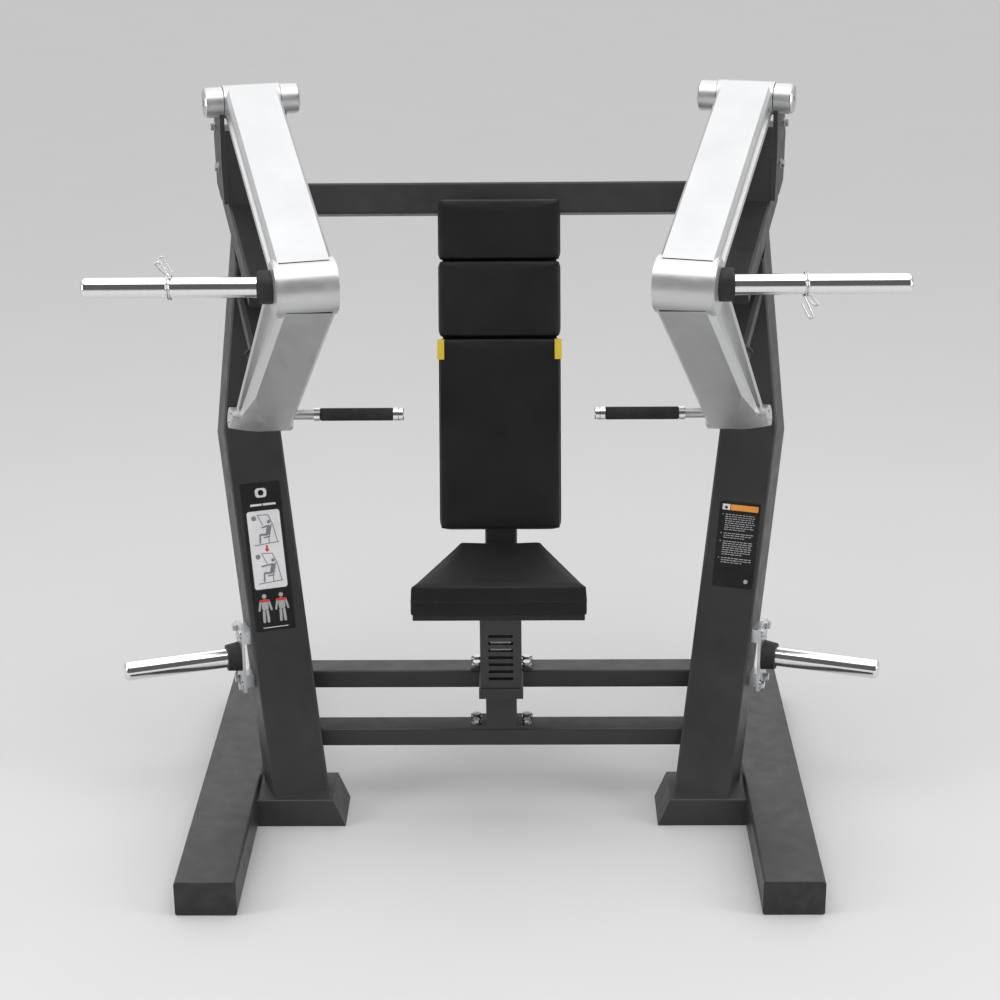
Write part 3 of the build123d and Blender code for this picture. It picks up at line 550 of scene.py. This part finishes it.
def welt(surface, outline, depth, name):
    """Piping sewn into the cover's side, following the swollen surface."""
    points = [spot for spot, _, _ in seam(surface, outline, depth, PIPING_PITCH)]
    return tube_along(name, points, PIPING_R, 2, cyclic=True)


def cushion(name, node, outline, thick, place, cap, body):
    """Swollen cover, piping and a stitch row for one pad, replacing its CAD block."""
    blank = even_mesh(cushion_blank(outline, thick))
    cover = inflate(blank, thick, cap)
    depth = -thick * SEAM_DEPTH
    piping = welt(cover, outline, depth, name + "_piping")
    rows = stitches(cover, outline, depth + STITCH_RISE, name + "_stitches")
    for mesh in (cover, piping, rows):
        mesh.transform(place)
    pad = put(name, cover, MATERIALS["upholstery"], body)
    smooth = pad.modifiers.new("smooth", "SUBSURF")
    smooth.levels = smooth.render_levels = 1
    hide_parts(node)
    put(name + "_piping", piping, MATERIALS["upholstery"], body)
    put(name + "_stitches", rows, THREAD, body)


def place_matrix(origin, x_dir, y_dir, z_dir):
    """Transform that takes the axes to these directions at the origin given."""
    turn = Matrix((x_dir, y_dir, z_dir)).transposed().to_4x4()
    return Matrix.Translation(origin) @ turn


def back_cushions():
    """Three pads one above another on the reclined board."""
    up = Vector((0, sin(RECLINE), cos(RECLINE)))
    ahead = Vector((0, -cos(RECLINE), sin(RECLINE)))
    low = 0.0
    half = PAD_WIDE / 2
    for name, length in PAD_LENGTHS:
        tall = length / 2
        outline = [(-half, -tall), (half, -tall), (half, tall), (-half, tall)]
        place = place_matrix(PAD_FOOT + up * (low + tall), Vector((1, 0, 0)), up, ahead)
        cushion("back_pad_" + name, "back_cushion_" + name, outline, PAD_THICK, place,
                PAD_CAP, "frame")
        low += length + PAD_GAP


def seat_cushion():
    """The tapered seat pad, tilted up at the front."""
    normal = Vector((0, sin(SEAT_RISE), cos(SEAT_RISE)))
    back = Vector((0, cos(SEAT_RISE), -sin(SEAT_RISE)))
    front, rear = SEAT_WIDE_FRONT / 2, SEAT_WIDE_REAR / 2
    half = SEAT_LONG / 2
    outline = [(-front, -half), (front, -half), (rear, half), (-rear, half)]
    place = place_matrix(SEAT_REAR - back * half, Vector((1, 0, 0)), back, normal)
    cushion("seat_pad", "seat_cushion", outline, SEAT_THICK, place, SEAT_CAP, "seat")


# ---- wire, grips and placards --------------------------------------------------------
def narrow_loop(root, along, beside, length, width):
    """Wire out along one leg, round a tip and part of the way back on the other leg."""
    bend = width * 0.75
    stations = [(length * part, 0) for part in (0.1, 0.45, 0.85)]
    stations += [(length + bend * 0.2, 0), (length + bend, width * 0.15)]
    stations += [(length + bend, width * 0.85), (length + bend * 0.2, width)]
    stations += [(length * part, width) for part in (0.8, 0.5, 0.3)]
    return [root + along * out + beside * across for out, across in stations]


def spring_clip(side):
    """Two coils of drawn wire on the horn, each end bent out into a long narrow loop."""
    out = OUTWARD[side]
    up = -out               # the left clip's loops stand up, the right clip's hang down
    coil_r = HORN_R + CLIP_WIRE + CLIP_SLACK
    middle = Vector((CLIP_PLACES[side], *HORN_AXIS))
    first, last = CLIP_TURN
    count = round((last - first) / tau * CLIP_STEPS)
    coil = []
    for k in range(count + 1):
        angle = first + (last - first) * k / count
        x = out * CLIP_PITCH * (1 - k / (count / 2))
        coil.append(middle + Vector((x, -coil_r * sin(angle), up * coil_r * cos(angle))))
    loops = []
    for end, lean, aside, length, width in ((coil[0], radians(46), 0.12, 0.034, 0.010),
                                            (coil[-1], radians(26), -0.10, 0.048, 0.0115)):
        along = Vector((out * sin(lean), aside, up * cos(lean))).normalized()
        beside = Vector((-out * cos(lean), 0, up * sin(lean)))
        loops.append(narrow_loop(end, along, beside, length, width))
    path = list(reversed(loops[0])) + coil + loops[1]
    wire = tube_along("spring_clip_wire_" + side, path, CLIP_WIRE, 5)
    clip = put("spring_clip_wire_" + side, wire, MATERIALS["spring_wire"], side + "_clip")
    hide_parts("spring_clip_" + side)


def grip(side):
    """Foam sleeve with rolled ends and fine shallow rings."""
    near, far = GRIP_SPAN
    steps = 96
    profile = []
    for k in range(steps + 1):
        x = near + (far - near) * k / steps
        edge = min(x - near, far - x)
        roll = GRIP_R - GRIP_ROLL * max(0.0, 1 - edge / GRIP_ROLL_LONG) ** 2
        ring = RING_DEPTH * (0.5 + 0.5 * cos(tau * (x - near) / RING_PITCH))
        profile.append((x, roll - ring))
    mesh = on_side(lathe(profile), side)
    sleeve = put("grip_foam_" + side, mesh, MATERIALS["grip_rubber"], side + "_arm")
    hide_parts("grip_" + side)


def column_matrix(side):
    """Plane of an upright's front face: x inward, y up the lean, z forward."""
    across = Vector((cos(COLUMN_YAW), sin(COLUMN_YAW), 0))
    back = Vector((-sin(COLUMN_YAW), cos(COLUMN_YAW), 0))
    climb = back * sin(COLUMN_LEAN) + Vector((0, 0, cos(COLUMN_LEAN)))
    place = place_matrix(COLUMN_FOOT, across, climb, across.cross(climb))
    if side == "right":
        place = Matrix.Diagonal((-1, 1, 1, 1)) @ place
    return place


def flat_panel(work, x, y, wide, tall, lift=PRINT_LIFT, corner=0.0, turn=0.0):
    """A thin raised rectangle on the placard; corner rounds it, turn spins it."""
    steps = 6 if corner else 1
    rim = []
    for cx, cy, start in ((1, 1, 0), (-1, 1, pi / 2), (-1, -1, pi), (1, -1, 1.5 * pi)):
        for k in range(steps):
            angle = start + (pi / 2 * k / max(1, steps - 1) if corner else 0)
            px = cx * (wide / 2 - corner) + corner * cos(angle)
            py = cy * (tall / 2 - corner) + corner * sin(angle)
            rim.append((x + px * cos(turn) - py * sin(turn), y + px * sin(turn) + py * cos(turn)))
    low = [work.verts.new((px, py, lift - PRINT_THICK)) for px, py in rim]
    high = [work.verts.new((px, py, lift)) for px, py in rim]
    work.faces.new(high)
    work.faces.new(list(reversed(low)))
    for k in range(len(rim)):
        nxt = (k + 1) % len(rim)
        work.faces.new((low[k], low[nxt], high[nxt], high[k]))


def disc(work, x, y, radius, lift=PRINT_LIFT):
    """A round panel."""
    flat_panel(work, x, y, radius * 2, radius * 2, lift, corner=radius * 0.999)


def standing(work, x, y, size):
    """A plain standing outline: head, trunk, arms and legs."""
    lift = FIGURE_LIFT
    disc(work, x, y + size * 0.42, size * 0.075, lift)
    flat_panel(work, x, y + size * 0.14, size * 0.22, size * 0.36, lift, corner=size * 0.06)
    for way in (-1, 1):
        flat_panel(work, x + way * size * 0.17, y + size * 0.12, size * 0.07, size * 0.38, lift,
                   corner=size * 0.03, turn=way * 0.22)
        flat_panel(work, x + way * size * 0.065, y - size * 0.25, size * 0.09, size * 0.42, lift,
                   corner=size * 0.04, turn=way * 0.04)


def add_print(name, side, draw, material):
    """One colour of a placard's print, drawn in the plane of the upright's front face."""
    work = bmesh.new()
    draw(work)
    mesh = finished(work, "panel")
    mesh.transform(column_matrix(side))
    if side == "right":
        mesh.flip_normals()
    put(name, mesh, material, "frame", smooth=False)


def machine_sketch(work, x, y, pressed):
    """Plain line drawing of a seated press: ground, frame, arm, plate and a sitter."""
    def stroke(x1, y1, x2, y2, wide=0.0022, level=SKETCH_LIFT):
        run = Vector((x2 - x1, y2 - y1))
        flat_panel(work, x + (x1 + x2) / 2, y + (y1 + y2) / 2, run.length, wide, level,
                   corner=wide * 0.45, turn=atan2(run.y, run.x))

    for ends in ((-0.032, -0.040, 0.034, -0.036), (0.030, -0.037, 0.022, 0.010),
                 (0.022, 0.010, 0.012, 0.036), (0.012, 0.036, -0.016, 0.038),
                 (-0.016, 0.038, -0.004, 0.010), (0.008, -0.038, 0.008, -0.020)):
        stroke(*ends)
    stroke(-0.006, -0.022, 0.012, -0.020, 0.0035)
    stroke(0.010, -0.018, 0.018, 0.012, 0.0035)
    disc(work, x - 0.026, y + 0.030, 0.0065, SKETCH_LIFT)
    level = SKETCH_LIFT + LEVEL_STEP
    disc(work, x + 0.012, y + 0.018, 0.0045, level)
    stroke(0.004, -0.016, 0.011, 0.010, 0.0085, level)
    stroke(0.004, -0.015, -0.014, -0.013, 0.0050, level)
    stroke(-0.014, -0.013, -0.016, -0.036, 0.0042, level)
    hand_x = -0.020 if pressed else -0.008
    stroke(0.008, 0.008, hand_x, 0.004, 0.0038, level + LEVEL_STEP)


def left_placard():
    """Exercise placard: a plain mark, title bars, two sketches with an arrow, two outlines."""
    x, top = -0.018, 0.819
    sketch_at = ((0.122, False), (0.222, True))

    def pale(work):
        flat_panel(work, x, top - 0.027, 0.030, 0.024, corner=0.008)
        flat_panel(work, x - 0.016, top - 0.058, 0.030, 0.0055)
        flat_panel(work, x + 0.019, top - 0.058, 0.034, 0.0055)
        flat_panel(work, x, top - 0.175, 0.086, 0.203, corner=0.007)
        flat_panel(work, x, top - 0.377, 0.066, 0.0018)

    def dark(work):
        disc(work, x, top - 0.027, 0.0075, lift=SKETCH_LIFT)

    def grey(work):
        for down, pressed in sketch_at:
            machine_sketch(work, x, top - down, pressed)

    def figures(work):
        for way in (-1, 1):
            standing(work, x + way * 0.022, top - 0.328, 0.078)

    def red(work):
        flat_panel(work, x, top - 0.169, 0.0055, 0.010, lift=SKETCH_LIFT)
        flat_panel(work, x, top - 0.1755, 0.0085, 0.0085, lift=0.0020, turn=pi / 4)
        for way in (-1, 1):
            flat_panel(work, x + way * 0.022, top - 0.307, 0.026, 0.007, lift=0.0021, corner=0.003)

    add_print("placard_pale_panels", "left", pale, PALE_FILM)
    add_print("placard_mark_hole", "left", dark, MATERIALS["placard_film"])
    add_print("placard_sketches", "left", grey, GREY_FILM)
    add_print("placard_figures", "left", figures, MID_FILM)
    add_print("placard_red_marks", "left", red, RED_FILM)


def right_placard():
    """Notice placard: a coloured header over blocks of short dashes, with no lettering."""
    x, top, wide = -0.022, 0.762, 0.078
    first_side = x + 0.036
    blocks = (8, 3, 7, 3)       # rows of dashes in each block
    row_pitch, block_gap = 0.0056, 0.004
    shortest, longest, dash_gap, dash_tall = 0.004, 0.012, 0.0022, 0.0019
    last_row = 0.7              # of the full width
    draw = random.Random(7)

    def header(work):
        flat_panel(work, x - 0.012, top - 0.015, 0.072, 0.015)

    def mark(work):
        flat_panel(work, x + 0.036, top - 0.015, 0.020, 0.015)

    def hazard(work):
        flat_panel(work, x + 0.036, top - 0.0165, 0.0068, 0.0068, lift=FIGURE_LIFT, turn=pi / 4)

    def lines(work):
        down = 0.034
        for rows in blocks:
            disc(work, first_side + 0.007, top - down, 0.0014)
            for row in range(rows):
                end = wide * (1.0 if row < rows - 1 else last_row)
                spent = 0.0
                while spent < end - shortest:
                    dash = min(draw.uniform(shortest, longest), end - spent)
                    flat_panel(work, first_side - spent - dash / 2, top - down, dash, dash_tall)
                    spent += dash + dash_gap
                down += row_pitch
            down += block_gap
        disc(work, x - 0.034, top - 0.203, 0.0055)

    add_print("notice_header", "right", header, ORANGE_FILM)
    add_print("notice_mark", "right", mark, PALE_FILM)
    add_print("notice_hazard", "right", hazard, MATERIALS["placard_film"])
    add_print("notice_lines", "right", lines, MID_FILM)


# ---- arm details -------------------------------------------------------------------
def slab(place, across, along, outward, size):
    """A small block with softened edges, its middle at place."""
    work = bmesh.new()
    bmesh.ops.create_cube(work, size=1.0)
    bmesh.ops.scale(work, vec=size, verts=work.verts)
    bmesh.ops.bevel(work, geom=list(work.edges), offset=min(size) * 0.3, segments=2, profile=0.5,
                    affect="EDGES")
    mesh = finished(work, "slab")
    mesh.transform(place_matrix(place, across, along, outward))
    return mesh


def tangent_frame(start, end, across, near_r, far_r, upward):
    """Line tangent to two round ends: its start, its direction, its outward side and its length."""
    reach = end - start
    reach = reach - across * reach.dot(across)
    along = reach.normalized()
    side = along.cross(across)
    if (side.z > 0) != upward:
        side = -side
    flare = asin((far_r - near_r) / reach.length)
    outward = side * cos(flare) - along * sin(flare)
    run = along * cos(flare) + side * sin(flare)
    return start + outward * near_r, run, outward, reach.length * cos(flare)


def arm_shade_strips(side):
    """Painted shade: black strips where both beams meet the elbow drum, standing in for the shade in that
    seam.
    """
    across = Vector((cos(ARM_YAW), sin(ARM_YAW), 0))
    lower = (HUB - ELBOW).normalized()
    across_low = (across - lower * across.dot(lower)).normalized()
    upper_face = tangent_frame(PIVOT, ELBOW, across, PIVOT_TUBE_R, DRUM_R, True)
    lower_face = tangent_frame(HUB, ELBOW, across_low, HUB_R, DRUM_R, False)
    for label, face, span, wide in (("upper", upper_face, across, 0.120),
                                    ("lower", lower_face, across_low, 0.112)):
        start, run, outward, length = face
        spot = start + run * (length - SHADE_STRIP_BACK)
        mesh = slab(spot - outward * SHADE_STRIP_SINK, span, run, outward, (wide, SHADE_STRIP_WIDE, SHADE_STRIP_THICK))
        if side == "right":
            mesh.transform(Matrix.Diagonal((-1, 1, 1, 1)))
            mesh.flip_normals()
        # The black rubber material here is painted shade, not a part of the arm.
        put("arm_shade_strip_" + label + "_" + side, mesh, MATERIALS["black_rubber"], side + "_arm")


def grip_end_band(side):
    """Black band set between the grip's end ring and its cap."""
    profile = [(0.2555, 0.0150), (0.2560, 0.0172), (0.2590, 0.0172), (0.2595, 0.0150)]
    mesh = on_side(lathe(profile), side)
    put("grip_end_band_" + side, mesh, MATERIALS["black_plastic"], side + "_arm")


# ---- studio ------------------------------------------------------------------------------
def studio():
    """Pale floor, soft room and four soft lights."""
    floor = bpy.data.meshes.new("floor")
    corners = [(FLOOR_REACH * x, FLOOR_REACH * y, 0) for x, y in ((-1, -1), (1, -1), (1, 1), (-1, 1))]
    floor.from_pydata(corners, [], [(0, 1, 2, 3)])
    ground = link("floor", floor)
    mat, tree, shader = new_material("pale_floor", (FLOOR_TONE,) * 3, 0.0, 0.9, 0.1)
    dark, light = (FLOOR_TONE - 0.01,) * 3, (FLOOR_TONE + 0.01,) * 3
    tone = blend_colour(tree, noise(tree, 2.0, 3), dark, light)
    tree.links.new(tone, shader.inputs["Base Color"])
    floor.materials.append(mat)
    ground.location.z = FLOOR_DROP

    world = bpy.data.worlds.new("studio")
    scene.world = world
    world.use_nodes = True
    paint_world(world.node_tree)
    softbox("top_light", (0, -0.9, 4.6), (0, 0.1, 1.0), (3.4, 2.4), TOP_WATTS)
    softbox("left_light", (-4.2, -1.6, 2.2), (0, 0, 1.0), (1.2, 2.4), SIDE_WATTS)
    softbox("right_light", (4.2, -1.6, 2.2), (0, 0, 1.0), (1.2, 2.4), SIDE_WATTS)
    fill = softbox("front_fill", (0, -5.5, 1.7), (0, 0, 0.8), (5.0, 2.4), FRONT_WATTS)
    fill.visible_glossy = False


def ramp(tree, value, low, high):
    """A smooth step from 0 at low to 1 at high."""
    node = tree.nodes.new("ShaderNodeMapRange")
    node.interpolation_type = "SMOOTHSTEP"
    tree.links.new(value, node.inputs["Value"])
    node.inputs["From Min"].default_value = low
    node.inputs["From Max"].default_value = high
    return node.outputs["Result"]


def lerp(tree, factor, first, second):
    """Blend two levels, each a number or a socket."""
    node = tree.nodes.new("ShaderNodeMix")
    tree.links.new(factor, node.inputs[0])
    for socket, value in ((node.inputs[2], first), (node.inputs[3], second)):
        if isinstance(value, bpy.types.NodeSocket):
            tree.links.new(value, socket)
        else:
            socket.default_value = value
    return node.outputs[0]


def paint_world(tree):
    """A soft room: bright ceiling and side walls, dim wall behind the camera, pale wall ahead."""
    place = tree.nodes.new("ShaderNodeTexCoord")
    split = tree.nodes.new("ShaderNodeSeparateXYZ")
    tree.links.new(place.outputs["Generated"], split.inputs["Vector"])
    level = lerp(tree, ramp(tree, split.outputs["Y"], -0.35, 0.25), DIM_WALL, PALE_WALL)
    for low, high in ((0.5, 0.8), (-0.5, -0.8)):
        level = lerp(tree, ramp(tree, split.outputs["X"], low, high), level, SIDE_WALL)
    slope = tree.nodes.new("ShaderNodeMath")
    slope.operation = "MULTIPLY_ADD"
    slope.inputs[1].default_value = CEILING_SLOPE
    tree.links.new(split.outputs["Y"], slope.inputs[0])
    tree.links.new(split.outputs["Z"], slope.inputs[2])
    level = lerp(tree, ramp(tree, slope.outputs[0], 0.55, 0.74), level, CEILING)
    sky = tree.nodes["Background"]
    sky.inputs["Color"].default_value = (1, 1, 1, 1)
    tree.links.new(level, sky.inputs["Strength"])


def softbox(name, place, aim, size, power):
    """A rectangular light at place, facing aim."""
    lamp = bpy.data.lights.new(name, "AREA")
    lamp.shape = "RECTANGLE"
    lamp.size, lamp.size_y = size
    lamp.energy = power
    holder = link(name, lamp)
    holder.location = place
    holder.rotation_euler = (Vector(aim) - Vector(place)).to_track_quat("-Z", "Y").to_euler()
    return holder


def camera():
    """The photo's viewpoint: pitch looks down, yaw turns left, roll tips the frame."""
    data = bpy.data.cameras.new("camera")
    data.sensor_width = 36
    data.lens = CAMERA_LENS
    data.clip_end = 100
    obj = link("camera", data)
    pitch, yaw, roll = CAMERA_PITCH, CAMERA_YAW, CAMERA_ROLL
    ahead = Vector((-sin(yaw) * cos(pitch), cos(yaw) * cos(pitch), -sin(pitch)))
    right = Vector((cos(yaw), sin(yaw), 0))
    up = right.cross(ahead)
    right_rolled = right * cos(roll) + up * sin(roll)
    up_rolled = up * cos(roll) - right * sin(roll)
    obj.matrix_world = place_matrix(CAMERA_PLACE, right_rolled, up_rolled, -ahead)
    scene.camera = obj


scene.view_settings.view_transform = "Standard"
dress_frame()
back_cushions()
seat_cushion()
for hand in ("left", "right"):
    spring_clip(hand)
    grip(hand)
    grip_end_band(hand)
    arm_shade_strips(hand)
left_placard()
right_placard()
studio()
camera()
